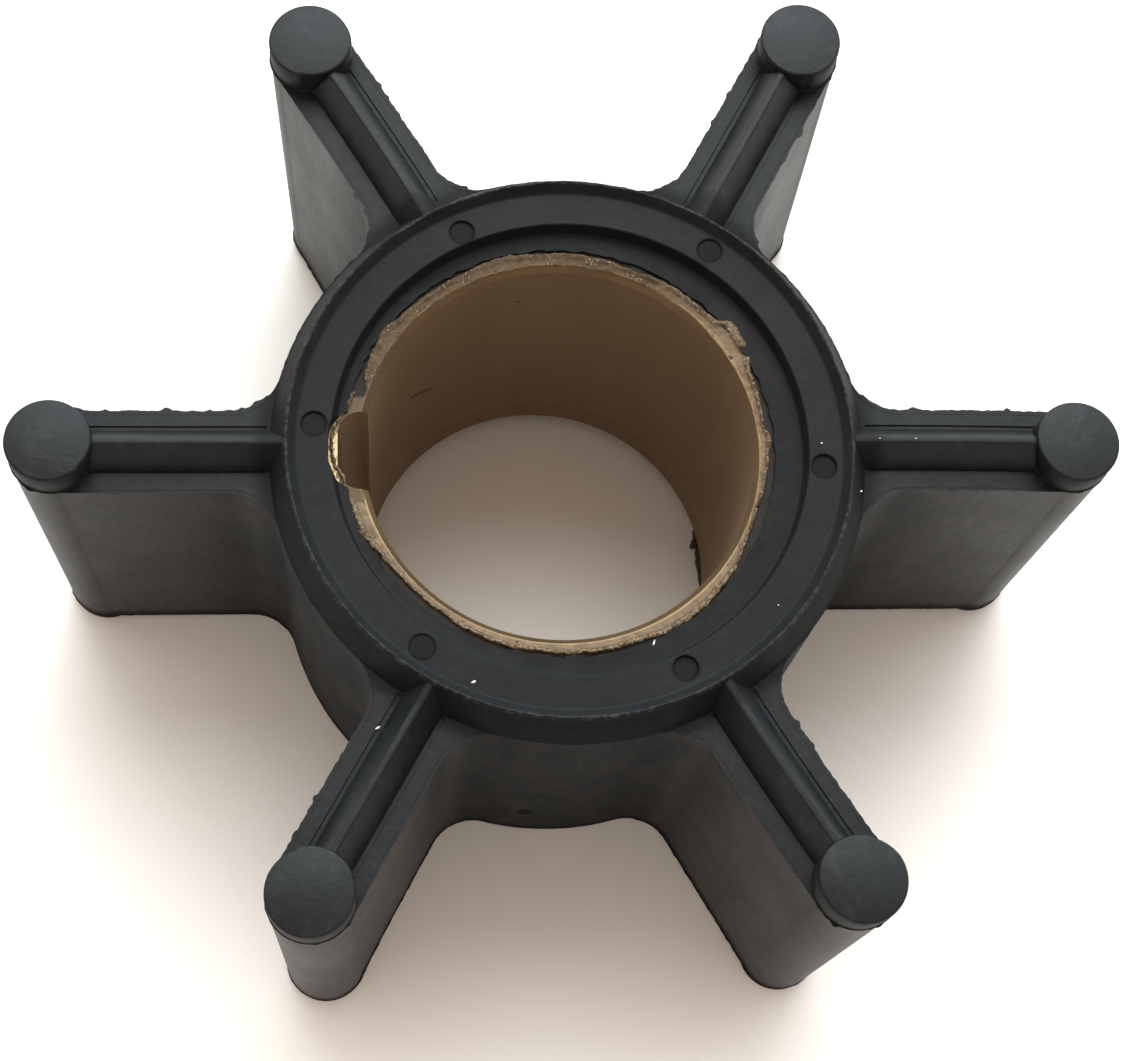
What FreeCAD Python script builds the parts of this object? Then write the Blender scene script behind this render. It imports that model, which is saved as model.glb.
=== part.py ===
# Water pump impeller: six rubber vanes moulded in one piece with their hub, on a keyed brass bush.
# Millimetres. The hub's axis is Z, the lower tip faces lie on Z = 0, one vane points along +X
# and the keyway faces -X. The bush's bore runs along Z too, a little off the hub's centre on the
# keyway's side. The lower end is like the upper one, but its webs and boss are cut back less.

import FreeCAD, Part
import os
import Sketcher
from FreeCAD import Placement, Rotation, Vector


# Driving dimensions, all in millimetres, apart from the count.
SIZES = {
    # The impeller as a whole
    "overall_height": 29.5,
    "sweep_diameter": 68.0,
    "vane_count": 6,
    # Vane: a straight web with a round bar at its tip and a ridge on each end
    "vane_thickness": 5.1,
    "tip_bulge": 0.05,
    "root_fillet": 3.2,
    "shoulder_depth": 2.2,
    "lower_shoulder_depth": 0.6,
    "rib_ledge": 1.2,
    "rib_top_width": 0.4,
    "rib_setback": 0.3,
    "foot_groove_width": 0.28,
    "foot_groove_depth": 0.12,
    # Hub ends, from the bush outwards
    "skin_cover": 1.0,
    "skin_thickness": 0.2,
    "recess_margin": 0.2,
    "recess_depth": 1.0,
    "recess_draft": 0.2,
    "annulus_width": 2.1,
    "annulus_depth": 0.6,
    "lip_slope": 0.5,
    "crest_width": 0.12,
    "boss_draft": 1.05,
    # Bush and its keyway, and how far the bush lies off the hub's centre on the keyway's side
    "bore_diameter": 24.0,
    "bore_chamfer": 0.4,
    "key_width": 5.0,
    "key_depth": 1.6,
    "key_corner": 1.4,
    "wall_behind_key": 0.6,
    "key_gap_in_skin": 0.1,
    "bush_offset": 0.6,
}

# Sizes that follow from the ones above. Each step outwards starts where the last one ends.
BORE_RADIUS = "sizes.bore_diameter / 2"
KEY_FLOOR = f"({BORE_RADIUS} + sizes.key_depth)"
BUSH_RADIUS = f"({KEY_FLOOR} + sizes.wall_behind_key)"
SKIN_RADIUS = f"({BUSH_RADIUS} - sizes.skin_cover)"
RECESS_RADIUS = f"({BUSH_RADIUS} + sizes.recess_margin)"
ANNULUS_RADIUS = f"({RECESS_RADIUS} + sizes.recess_draft)"
LIP_RADIUS = f"({ANNULUS_RADIUS} + sizes.annulus_width)"
CREST_INNER = f"({LIP_RADIUS} + sizes.lip_slope)"
CREST_OUTER = f"({CREST_INNER} + sizes.crest_width)"
HUB_RADIUS = f"({CREST_OUTER} + sizes.boss_draft)"

FULL_HEIGHT = "sizes.overall_height"
UPPER_SHOULDER = "sizes.shoulder_depth"
LOWER_SHOULDER = "sizes.lower_shoulder_depth"
RECESS_FLOOR = "(sizes.annulus_depth + sizes.recess_depth)"
RECESS_FLOOR_TOP = f"({FULL_HEIGHT} - {RECESS_FLOOR})"
BUSH_END = f"({RECESS_FLOOR} + sizes.skin_thickness)"
BUSH_TOP = f"({FULL_HEIGHT} - {BUSH_END})"

HALF_VANE = "sizes.vane_thickness / 2"
TIP_RADIUS = f"({HALF_VANE} + sizes.tip_bulge)"
TIP_CENTRE = f"(sizes.sweep_diameter / 2 - {TIP_RADIUS})"
HALF_RIB = f"({HALF_VANE} - sizes.rib_ledge)"
GROOVE_EDGE = f"({HALF_RIB} + sizes.foot_groove_width)"

# The root fillet touches the web's side and the hub, so its centre is this far from both.
FILLET_ACROSS = f"({HALF_VANE} + sizes.root_fillet)"
FILLET_REACH = f"({HUB_RADIUS} + sizes.root_fillet)"
FILLET_ALONG = f"sqrt({FILLET_REACH}^2 - {FILLET_ACROSS}^2)"

# How a sketch numbers its two axes, and the ends and the centre of a curve.
H_AXIS, V_AXIS = range(-1, -3, -1)
START, END, CENTRE = range(1, 4)

doc = FreeCAD.newDocument("pump_impeller")


def make_sizes():
    """The spreadsheet that drives every sketch and feature."""
    sheet = doc.addObject("Spreadsheet::Sheet", "sizes")
    for row, (name, value) in enumerate(SIZES.items(), start=1):
        sheet.set(f"A{row}", name)
        sheet.set(f"B{row}", str(value))
        sheet.setAlias(f"B{row}", name)
    doc.recompute()
    return sheet


def value_of(expression):
    """The present value of an expression, for a first guess at where a sketch's point lies."""
    return float(sizes.evalExpression(expression))


def new_body(name):
    body = doc.addObject("PartDesign::Body", name)
    body.Label = name
    return body


def origin_feature(body, role):
    """One of the body's own origin planes or axes."""
    return next(item for item in body.Origin.OriginFeatures if item.Role == role)


def new_sketch(body, name, plane):
    sketch = body.newObject("Sketcher::SketchObject", name)
    sketch.AttachmentSupport = [(origin_feature(body, plane), "")]
    sketch.MapMode = "FlatFace"
    return sketch


def raise_sketch(sketch, height):
    """Lifts a sketch off its plane by the height that an expression gives."""
    sketch.setExpression("AttachmentOffset.Base.z", height)


def centre_on_bush(sketch):
    """Moves a sketch sideways onto the bush's own centre."""
    sketch.setExpression("AttachmentOffset.Base.x", "-sizes.bush_offset")


def bind(sketch, constraint, name, expression):
    """Adds a dimension to a sketch, names it and ties it to the sheet."""
    index = sketch.addConstraint(constraint)
    sketch.renameConstraint(index, name)
    sketch.setExpression(f"Constraints.{name}", expression)


def pin_point(sketch, name, geometry, end, across, up):
    """Holds a point of a sketch at two expressions; a zero puts it on the axis itself."""
    if across == "0":
        sketch.addConstraint(Sketcher.Constraint("PointOnObject", geometry, end, V_AXIS))
    else:
        datum = Sketcher.Constraint("DistanceX", H_AXIS, START, geometry, end, value_of(across))
        bind(sketch, datum, f"{name}_across", across)
    if up == "0":
        sketch.addConstraint(Sketcher.Constraint("PointOnObject", geometry, end, H_AXIS))
    else:
        datum = Sketcher.Constraint("DistanceY", H_AXIS, START, geometry, end, value_of(up))
        bind(sketch, datum, f"{name}_up", up)


def join_ends(sketch, joins):
    """Joins curves of a sketch end to end."""
    for first, first_end, second, second_end in joins:
        sketch.addConstraint(Sketcher.Constraint("Coincident", first, first_end, second, second_end))


def round_corner(sketch, name, arc, level_end, plumb_end, radius, across, up):
    """Holds a quarter round by its centre, one end level with that and the other end plumb with it."""
    bind(sketch, Sketcher.Constraint("Radius", arc, value_of(radius)), f"{name}_radius", radius)
    pin_point(sketch, name, arc, CENTRE, across, up)
    sketch.addConstraint(Sketcher.Constraint("Horizontal", arc, level_end, arc, CENTRE))
    sketch.addConstraint(Sketcher.Constraint("Vertical", arc, plumb_end, arc, CENTRE))


def draw_outline(sketch, outline):
    """A closed outline of straight sides through named points, given as expressions."""
    places = [Vector(value_of(across), value_of(up), 0) for _, across, up in outline]
    count = len(outline)
    for index in range(count):
        side = Part.LineSegment(places[index], places[(index + 1) % count])
        sketch.addGeometry(side, False)
    join_ends(sketch, [(index, END, (index + 1) % count, START) for index in range(count)])
    for index, (name, across, up) in enumerate(outline):
        pin_point(sketch, name, index, START, across, up)


def both_ends(upper, lower):
    """Completes an outline from its two ends, each given with heights measured inwards from that end."""
    top = [(f"top_{name}", across, f"{FULL_HEIGHT} - {inwards}") for name, across, inwards in upper]
    low = [(f"low_{name}", across, inwards) for name, across, inwards in reversed(lower)]
    return top + low


def revolve(body, name, sketch, axis):
    feature = body.newObject("PartDesign::Revolution", name)
    feature.Profile = sketch
    feature.ReferenceAxis = axis
    feature.Angle = 360
    return feature


def pad(body, name, sketch, length):
    feature = body.newObject("PartDesign::Pad", name)
    feature.Profile = sketch
    feature.setExpression("Length", length)
    return feature


def pattern_round(body, name, features, count):
    """Repeats features evenly about the body's Z axis."""
    pattern = body.newObject("PartDesign::PolarPattern", name)
    pattern.Originals = features
    pattern.Axis = (origin_feature(body, "Z_Axis"), [""])
    pattern.Angle = 360
    pattern.setExpression("Occurrences", count)
    body.Tip = pattern
    return pattern


def cut_through(body, name, sketch, depth):
    """A pocket that goes up from its sketch, checked to have taken something away."""
    doc.recompute()
    before = body.Shape.Volume
    pocket = body.newObject("PartDesign::Pocket", name)
    pocket.Profile = sketch
    pocket.Reversed = True
    pocket.setExpression("Length", depth)
    body.Tip = pocket
    doc.recompute()
    if not body.Shape.Volume < before:
        raise RuntimeError(f"{name} cuts nothing")
    return pocket


def hub_outline(shoulder):
    """One end of the hub in section: a recess, a flat, a thin raised lip and a drafted boss."""
    return [
        ("middle", "0", RECESS_FLOOR),
        ("recess_floor", RECESS_RADIUS, RECESS_FLOOR),
        ("annulus_inner", ANNULUS_RADIUS, "sizes.annulus_depth"),
        ("annulus_outer", LIP_RADIUS, "sizes.annulus_depth"),
        ("crest_inner", CREST_INNER, "0"),
        ("crest_outer", CREST_OUTER, "0"),
        ("boss_foot", HUB_RADIUS, shoulder),
    ]


def add_hub(body):
    """The hub, turned from its section."""
    sketch = new_sketch(body, "hub_section", "XZ_Plane")
    draw_outline(sketch, both_ends(hub_outline(UPPER_SHOULDER), hub_outline(LOWER_SHOULDER)))
    return revolve(body, "hub", sketch, (sketch, ["V_Axis"]))


def hollow_for_bush(body):
    """The room for the bush, and the smaller round opening that the skin leaves over each of its ends."""
    sketch = new_sketch(body, "bush_room", "XZ_Plane")
    centre_on_bush(sketch)
    end = [
        ("bush_wall", BUSH_RADIUS, BUSH_END),
        ("skin_back", SKIN_RADIUS, BUSH_END),
        ("skin_edge", SKIN_RADIUS, "0"),
        ("middle", "0", "0"),
    ]
    draw_outline(sketch, both_ends(end, end))
    hollow = body.newObject("PartDesign::Groove", "hollow")
    hollow.Profile = sketch
    hollow.ReferenceAxis = (sketch, ["V_Axis"])
    hollow.Angle = 360
    body.Tip = hollow


def web_outline(shoulder):
    """One end of the web in cross-section: its two shoulders, and the ridge between their grooves."""
    groove = f"({shoulder} + sizes.foot_groove_depth)"
    right = [
        ("shoulder", HALF_VANE, shoulder),
        ("groove_side", GROOVE_EDGE, shoulder),
        ("groove_floor", GROOVE_EDGE, groove),
        ("rib_foot", HALF_RIB, groove),
        ("rib_top", "sizes.rib_top_width / 2", "sizes.rib_setback"),
    ]
    left = [(f"{name}_left", f"-({across})", inwards) for name, across, inwards in reversed(right)]
    return right + left


def add_vane_web(body):
    """The web with a ridge on each end, drawn as its cross-section and run out to the tip."""
    sketch = new_sketch(body, "vane_section", "YZ_Plane")
    draw_outline(sketch, both_ends(web_outline(UPPER_SHOULDER), web_outline(LOWER_SHOULDER)))
    sketch.setExpression("AttachmentOffset.Base.z", CREST_INNER)
    return pad(body, "web", sketch, f"{TIP_CENTRE} - {CREST_INNER}")


def add_root(body):
    """The web's root: a hollow fillet on each side that runs tangent into the round of the hub."""
    sketch = new_sketch(body, "root_plan", "XY_Plane")
    raise_sketch(sketch, LOWER_SHOULDER)
    along = value_of(FILLET_ALONG)
    across = value_of(FILLET_ACROSS)
    radius = value_of("sizes.root_fillet")
    hub_share = value_of(HUB_RADIUS) / value_of(FILLET_REACH)
    web_ends, hub_ends = {}, {}
    for name, side, web_end, hub_end in (("left", "", END, START), ("right", "-", START, END)):
        centre = Vector(along, value_of(f"{side}{FILLET_ACROSS}"), 0)
        on_web = centre - Vector(0, centre.y / across * radius, 0)
        on_hub = centre * hub_share
        towards = (on_web + on_hub) / 2 - centre
        crown = centre + towards * (radius / towards.Length)
        first, last = (on_web, on_hub) if web_end == START else (on_hub, on_web)
        arc = sketch.addGeometry(Part.Arc(first, crown, last), False)
        spoke = sketch.addGeometry(Part.LineSegment(Vector(0, 0, 0), centre), True)
        bind(sketch, Sketcher.Constraint("Radius", arc, radius), f"{name}_fillet", "sizes.root_fillet")
        pin_point(sketch, f"{name}_centre", arc, CENTRE, FILLET_ALONG, f"{side}{FILLET_ACROSS}")
        sketch.addConstraint(Sketcher.Constraint("Vertical", arc, web_end, arc, CENTRE))
        sketch.addConstraint(Sketcher.Constraint("Coincident", spoke, START, H_AXIS, START))
        sketch.addConstraint(Sketcher.Constraint("Coincident", spoke, END, arc, CENTRE))
        sketch.addConstraint(Sketcher.Constraint("PointOnObject", arc, hub_end, spoke))
        web_ends[arc] = (web_end, on_web)
        hub_ends[arc] = (hub_end, on_hub)
    for ends in (web_ends, hub_ends):
        (first, (first_end, first_place)), (second, (second_end, second_place)) = ends.items()
        line = sketch.addGeometry(Part.LineSegment(first_place, second_place), False)
        sketch.addConstraint(Sketcher.Constraint("Coincident", line, START, first, first_end))
        sketch.addConstraint(Sketcher.Constraint("Coincident", line, END, second, second_end))
    return pad(body, "root", sketch, f"{FULL_HEIGHT} - {UPPER_SHOULDER} - {LOWER_SHOULDER}")


def add_tip(body):
    """The vane's tip: a round bar over the impeller's full height."""
    sketch = new_sketch(body, "tip_plan", "XY_Plane")
    centre = Vector(value_of(TIP_CENTRE), 0, 0)
    bar = sketch.addGeometry(Part.Circle(centre, Vector(0, 0, 1), value_of(TIP_RADIUS)), False)
    bind(sketch, Sketcher.Constraint("Radius", bar, value_of(TIP_RADIUS)), "tip_radius", TIP_RADIUS)
    pin_point(sketch, "middle", bar, CENTRE, TIP_CENTRE, "0")
    return pad(body, "tip", sketch, FULL_HEIGHT)


def make_rubber_moulding():
    """Hub, vanes, tips and ribs, all one moulding."""
    body = new_body("rubber_moulding")
    add_hub(body)
    web = add_vane_web(body)
    root = add_root(body)
    tip = add_tip(body)
    pattern_round(body, "vanes", [web, root, tip], "sizes.vane_count")
    hollow_for_bush(body)
    add_key_slot(body, "skin_notch", "sizes.key_gap_in_skin", RECESS_FLOOR, RECESS_FLOOR_TOP)
    return body


def add_key_slot(body, name, gap, low, high):
    """A slot for the key on the side that faces -X, its floor's corners rounded, wider all round by gap."""
    sketch = new_sketch(body, f"{name}_plan", "XY_Plane")
    raise_sketch(sketch, low)
    centre_on_bush(sketch)
    half_width = f"(sizes.key_width / 2 + {gap})"
    slot_floor = f"-({KEY_FLOOR} + {gap})"
    half = value_of(half_width)
    floor = value_of(slot_floor)
    corner = value_of("sizes.key_corner")
    slack = corner * (1 - 0.5 ** 0.5)
    mouth, left_side, left_corner, bottom, right_corner, right_side = range(6)
    sketch.addGeometry([
        Part.LineSegment(Vector(0, -half, 0), Vector(0, half, 0)),
        Part.LineSegment(Vector(0, half, 0), Vector(floor + corner, half, 0)),
        Part.Arc(Vector(floor + corner, half, 0), Vector(floor + slack, half - slack, 0),
                 Vector(floor, half - corner, 0)),
        Part.LineSegment(Vector(floor, half - corner, 0), Vector(floor, corner - half, 0)),
        Part.Arc(Vector(floor, corner - half, 0), Vector(floor + slack, slack - half, 0),
                 Vector(floor + corner, -half, 0)),
        Part.LineSegment(Vector(floor + corner, -half, 0), Vector(0, -half, 0)),
    ], False)
    join_ends(sketch, (
        (mouth, END, left_side, START),
        (left_side, END, left_corner, START),
        (left_corner, END, bottom, START),
        (bottom, END, right_corner, START),
        (right_corner, END, right_side, START),
        (right_side, END, mouth, START),
    ))
    pin_point(sketch, "mouth_left", mouth, END, "0", half_width)
    pin_point(sketch, "mouth_right", mouth, START, "0", f"-{half_width}")
    inset = f"{slot_floor} + sizes.key_corner"
    round_corner(sketch, "left_corner", left_corner, END, START, "sizes.key_corner",
                 inset, f"{half_width} - sizes.key_corner")
    round_corner(sketch, "right_corner", right_corner, START, END, "sizes.key_corner",
                 inset, f"sizes.key_corner - {half_width}")
    return cut_through(body, name, sketch, f"{high} - {low}")


def make_drive_bush():
    """The brass bush that the rubber is moulded round, chamfered at both mouths of its bore."""
    body = new_body("drive_bush")
    sketch = new_sketch(body, "bush_section", "XZ_Plane")
    centre_on_bush(sketch)
    end = [
        ("chamfer_foot", BORE_RADIUS, f"({BUSH_END} + sizes.bore_chamfer)"),
        ("chamfer_rim", f"({BORE_RADIUS} + sizes.bore_chamfer)", BUSH_END),
        ("outside", BUSH_RADIUS, BUSH_END),
    ]
    draw_outline(sketch, both_ends(end, end))
    revolve(body, "tube", sketch, (sketch, ["V_Axis"]))
    add_key_slot(body, "keyway", "0", BUSH_END, BUSH_TOP)
    return body


def check_document():
    """Stops at any object that failed, and at any piece whose shape isn't sound."""
    for item in doc.Objects:
        if "Invalid" in item.State or "Error" in item.State:
            raise RuntimeError(f"{item.Name} failed: {item.State}")
    for piece in pieces:
        if piece.Shape.isNull() or not piece.Shape.isValid():
            raise RuntimeError(f"{piece.Label} has no sound shape")
        if len(piece.Shape.Solids) != 1:
            raise RuntimeError(f"{piece.Label} isn't one solid")


sizes = make_sizes()
pieces = [make_rubber_moulding(), make_drive_bush()]
for piece in pieces:
    piece.Placement = Placement(Vector(0, 0, 0), Rotation())
doc.recompute()
check_document()

os.makedirs("parts", exist_ok=True)
for piece in pieces:
    piece.Shape.exportStep(f"parts/{piece.Label}.step")
    box = piece.Shape.BoundBox
    print(piece.Label, round(piece.Shape.Volume, 2), [round(v, 3) for v in
          (box.XMin, box.YMin, box.ZMin, box.XMax, box.YMax, box.ZMax)])
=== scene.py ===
"""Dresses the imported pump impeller: the rubber moulding, its brass bush, the dust on it and the table it lies on."""

import math

import bmesh
import bpy
from bpy.props import FloatProperty, FloatVectorProperty, PointerProperty
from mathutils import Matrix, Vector, noise


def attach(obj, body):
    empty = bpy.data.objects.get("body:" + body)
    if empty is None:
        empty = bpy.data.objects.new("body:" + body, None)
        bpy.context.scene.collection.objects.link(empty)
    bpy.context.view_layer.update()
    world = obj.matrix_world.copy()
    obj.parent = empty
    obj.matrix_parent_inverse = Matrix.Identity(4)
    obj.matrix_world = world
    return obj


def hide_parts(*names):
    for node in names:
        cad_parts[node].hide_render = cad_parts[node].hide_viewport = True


bl_info = {
    "name": "Pump Impeller",
    "version": (1, 0, 0),
    "blender": (4, 5, 0),
    "location": "3D View > Sidebar > Impeller",
    "description": "Models and finishes a flexible pump impeller on its brass bush",
    "category": "Object",
}

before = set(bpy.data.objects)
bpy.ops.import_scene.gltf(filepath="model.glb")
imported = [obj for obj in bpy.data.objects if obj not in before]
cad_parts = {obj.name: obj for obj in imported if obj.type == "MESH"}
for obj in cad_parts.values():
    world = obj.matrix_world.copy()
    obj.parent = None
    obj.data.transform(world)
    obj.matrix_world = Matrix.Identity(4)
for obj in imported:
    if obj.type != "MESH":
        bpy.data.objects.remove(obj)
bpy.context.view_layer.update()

MM = 0.001

# The moulding, in millimetres. Heights count from the lower tip faces.
HEIGHT = 29.5
UPPER_SHOULDER = 27.3
LOWER_SHOULDER = 0.6
BODY_RADIUS = 18.37
SKIN = 27.9
ANNULUS = 28.9
HUB_END = ((12.0, SKIN), (14.4, SKIN), (14.6, ANNULUS), (16.7, ANNULUS), (17.2, HEIGHT), (17.32, HEIGHT))
HUB_CORNERS = (
    (14.4, SKIN, 0.14), (14.6, ANNULUS, 0.1), (16.7, ANNULUS, 0.12), (17.2, HEIGHT, 0.05), (17.32, HEIGHT, 0.05),
)
HALF_WEB = 2.55
ROOT_RADIUS = 3.2
ROOT_CENTRE = (20.789, 5.75)
ROOT_TURN = math.radians(74.53)
TIP_AT = 31.4
TIP_RADIUS = 2.6
TIP_CREASE = (27.32, 27.4, 27.5, 27.62)

# The corner of a web's plan inside the hub, and the lengths that its sides and fillets are drawn in.
WEB_CORNER = (16.0, 4.2)
WEB_PIECES = 10
FILLET_PIECES = 14

# The ridges on the webs' ends: where they start, the half widths of foot and crest, the crest's rounding, how deep
# they are rooted in the web and how far their crests lie inside the tips' ends.
RIDGE_START = 17.15
RIDGE_FOOT = 1.35
RIDGE_CREST = 0.2
RIDGE_ROUND = 0.08
RIDGE_ROOT = 0.6
RIDGE_SETBACK = 0.3

# The grooves beside the ridges: their ends along the web, their inner side and the outer sides of floor and mouth.
GROOVE_RUN = (18.5, 29.4)
GROOVE_SIDES = (1.31, 1.6, 1.68)
GROOVE_DEPTH = 0.12
GROOVE_PIECES = 8

# The flash: inside the first radius lies the hollow for the bush, inside the second the outline is the hub's own.
# Its outline is divided until no edge is longer than the last of these lengths.
HOLLOW_REACH = 15.5
HUB_REACH = 18.7
FLASH_LENGTHS = (2.4, 1.2, 0.6, 0.3, 0.18)

# The bush, how far its ends lie inside the tips' ends, and the room in the rubber for it and for the shaft's key.
BUSH_X = -0.6
BUSH_RADIUS = 14.2
BUSH_SETBACK = 1.8
SKIN_OPENING = 13.25
KEY_ROOM = (5.46, 5.24, HEIGHT + 3)
KEY_ROOM_X = -12.03
KEY_ROOM_CORNER = 1.9

# Where the bends of the vanes start, and how far each tip is bent over at its upper and at its lower end.
BEND_START = 19.0
BENDS = (
    ((-0.1, -0.2), (0.0, 0.0)),
    ((0.0, 0.4), (0.9, 0.1)),
    ((-0.25, -0.1), (0.3, 0.0)),
    ((0.0, 0.05), (0.45, 0.0)),
    ((0.0, 0.0), (0.25, -0.1)),
    ((0.36, 0.21), (-0.1, 0.05)),
)

# How far the upper ridges lie off the middle of their webs, because the mould's upper half lay askew.
RIDGE_SHIFT = 0.09

# The ejector pin marks on the upper annulus: radius, then place and depth of each, in millimetres.
PIN_RADIUS = 0.79
PIN_MARKS = (
    (-6.44, 14.04, 0.16), (-15.6, 1.3, 0.16), (15.46, -1.56, 0.2),
    (6.36, -14.21, 0.2), (-9.2, -12.75, 0.07), (9.1, 12.85, 0.12),
)

# The ring of smeared brass round the bore: the angles that it runs between, its inner radius and width before it is
# roughened, the height of its foot inside the bush's end, and its cross-section of radius and height.
RING_START, RING_END = -167, 162
RING_INNER = 12.3
RING_WIDTH = 0.85
RING_FOOT = 27.62
RING_SECTION = (
    (12.3, 27.62), (12.36, 27.73), (12.5, 27.76), (12.66, 27.77), (12.8, 27.84), (12.94, 27.92), (13.06, 27.93),
    (13.15, 27.86), (13.15, 27.62),
)

# The ring's outer edge: angle in degrees, radius in millimetres about the bush.
RAGGED_EDGE = (
    (-173, 13.42), (-169, 13.4), (-164, 13.34), (-157, 13.41), (-150, 13.06), (-142, 12.84), (-134, 12.79),
    (-126, 12.8), (-116, 12.96), (-108, 13.06), (-97, 12.99), (-87, 13.06), (-79, 13.13), (-70, 13.09),
    (-62, 13.28), (-52, 13.26), (-45, 13.17), (-38, 13.08), (-26, 12.72), (-19, 12.64), (-12, 12.78),
    (-2, 12.93), (2, 13.17), (7, 12.85), (15, 12.99), (22, 13.1), (30, 13.76), (37, 13.95), (41, 13.19),
    (46, 13.15), (57, 13.19), (66, 12.94), (80, 13.13), (93, 13.15), (105, 13.3), (114, 13.15), (124, 13.04),
    (138, 13.14), (143, 13.42), (151, 13.18), (157, 13.0), (161, 12.62),
)

# The burr round the keyway's end: radius, height, the part of the ring whose finish it has, and its line.
BURR_RADIUS = 0.11
BURR_HEIGHT = 27.74
BURR_ACROSS = 0.8
KEY_BURR = (
    (-13.2, 3.75), (-13.6, 3.05), (-13.95, 2.3), (-14.3, 1.6), (-14.52, 1.0), (-14.55, 0.1), (-14.5, -0.75),
    (-14.2, -1.3), (-13.9, -1.75), (-13.7, -2.3), (-13.65, -3.0),
)

# Shift of the noise for the lower end, so that it isn't roughened just as the upper one is.
LOWER_END = Vector((0, 0, 40))

# Scratches in the bore: both ends about the bush's axis and the width, in millimetres.
SCRATCHES = (
    ((-9.16, 7.76, 16.2), (-7.5, 9.37, 14.3), 0.13),
    ((-2.3, 11.78, 23.25), (-1.9, 11.85, 23.15), 0.1),
)

# The mottling on the walls is drawn out downwards, as the dirt on them ran. One small dark stain is on the hub's
# near wall, and one coppery spot is on the smeared brass beside the keyway, about the bush's axis.
WALL_STRETCH = (1, 1, 0.4)
STAIN = (-2.0, -18.3, 6.3)
COPPER_SPOT = (-12.4, 4.0)

# Shreds of rubber on the bore's lower rim: place, length, width and thickness in millimetres, and direction.
SHREDS = (
    (11.25, 2.75, 1.6, 0.5, 1.1, 0.7, 14),
    (11.15, 2.2, 1.5, 0.75, 0.75, 0.8, 10),
    (11.33, 1.45, 1.5, 0.45, 1.2, 0.7, 6),
    (11.4, 0.55, 1.5, 0.55, 1.3, 0.7, 0),
    (11.43, -0.4, 1.6, 0.4, 1.2, 0.6, -5),
)

# White specks and fibres: thickness of all, then place, length and width in millimetres, and direction.
DUST_THICKNESS = 0.08
DUST = (
    (-6.22, -14.94, 28.95, 0.28, 0.14, 20),
    (4.64, -12.39, 27.95, 0.36, 0.1, 75),
    (15.39, -0.1, 28.98, 0.12, 0.1, 0),
    (17.64, -3.2, 28.9, 0.14, 0.11, 0),
    (18.96, 0.1, 29.24, 0.09, 0.06, 0),
    (21.2, 0.1, 29.24, 0.09, 0.08, 0),
    (-11.82, -17.24, 27.34, 0.3, 0.12, 35),
    (12.1, -10.4, 28.94, 0.09, 0.08, 0),
)

# The window behind the part, in metres, and the camera of the photograph, in millimetres and degrees.
WINDOW_PLACE = (0.03, 0.56, 0.82)
WINDOW_WIDTH = 0.8
WINDOW_COLOUR = (0.95, 0.985, 1.0)
CAMERA_PLACE = (-11.41008, -48.39814, 160.29873)
CAMERA_TURN = (18.1066, -4.1007, -1.6637)
CAMERA_LENS = 73.911


# Modelling by hand, in code

def deselect_everything():
    if bpy.context.object and bpy.context.object.mode != "OBJECT":
        bpy.ops.object.mode_set(mode="OBJECT")
    bpy.ops.object.select_all(action="DESELECT")


def activate(piece):
    deselect_everything()
    piece.select_set(True)
    bpy.context.view_layer.objects.active = piece


def edit(piece):
    activate(piece)
    bpy.ops.object.mode_set(mode="EDIT")


def leave_edit():
    bpy.ops.object.mode_set(mode="OBJECT")


def fix_place(piece):
    activate(piece)
    bpy.ops.object.transform_apply(location=True, rotation=True, scale=True)


def pick(piece, kind, wanted):
    """In edit mode, selects the vertices or edges that wanted() accepts, and nothing else."""
    bpy.ops.mesh.select_mode(type=kind)
    bpy.ops.mesh.select_all(action="DESELECT")
    mesh = bmesh.from_edit_mesh(piece.data)
    for item in mesh.verts if kind == "VERT" else mesh.edges:
        if wanted(item):
            item.select_set(True)
    bmesh.update_edit_mesh(piece.data)


def pick_all():
    bpy.ops.mesh.select_all(action="SELECT")


def near(value, target):
    return abs(value / MM - target) < 0.004


def merge_doubles(reach=0.001):
    pick_all()
    bpy.ops.mesh.remove_doubles(threshold=reach * MM)


def close_up():
    merge_doubles()
    bpy.ops.mesh.normals_make_consistent(inside=False)


def mend(piece):
    edit(piece)
    close_up()
    leave_edit()


def extrude(step):
    bpy.ops.mesh.extrude_region_move(TRANSFORM_OT_translate={"value": step})


def begin_line(name, start):
    """A plane primitive merged to one point, from which a line is drawn by extrusion."""
    deselect_everything()
    bpy.ops.mesh.primitive_plane_add(size=MM, location=Vector(start) * MM)
    piece = bpy.context.object
    piece.name = name
    fix_place(piece)
    edit(piece)
    bpy.ops.mesh.select_mode(type="VERT")
    pick_all()
    bpy.ops.mesh.merge(type="CENTER")
    return piece


def draw_line(here, there, pieces=1):
    step = (Vector(there) - Vector(here)) * MM / pieces
    for _ in range(pieces):
        extrude(step)


def draw_through(points):
    for here, there in zip(points, points[1:]):
        draw_line(here, there)


def round_corner(piece, wanted, width):
    pick(piece, "VERT", wanted)
    bpy.ops.mesh.bevel(affect="VERTICES", offset=width * MM, segments=3)


def turned(name, profile, centre=0.0, steps=192, corners=()):
    """A profile of (radius, height) points, rounded at its corners and spun round the upright axis at centre."""
    points = [(centre + radius, 0.0, height) for radius, height in profile]
    piece = begin_line(name, points[0])
    draw_through(points)
    merge_doubles()
    for radius, height, width in corners:
        round_corner(piece, lambda v: near(v.co.x, centre + radius) and near(v.co.z, height), width)
    pick_all()
    bpy.ops.mesh.spin(steps=steps, angle=math.tau, center=(centre * MM, 0, 0), axis=(0, 0, 1))
    close_up()
    leave_edit()
    return piece


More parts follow.
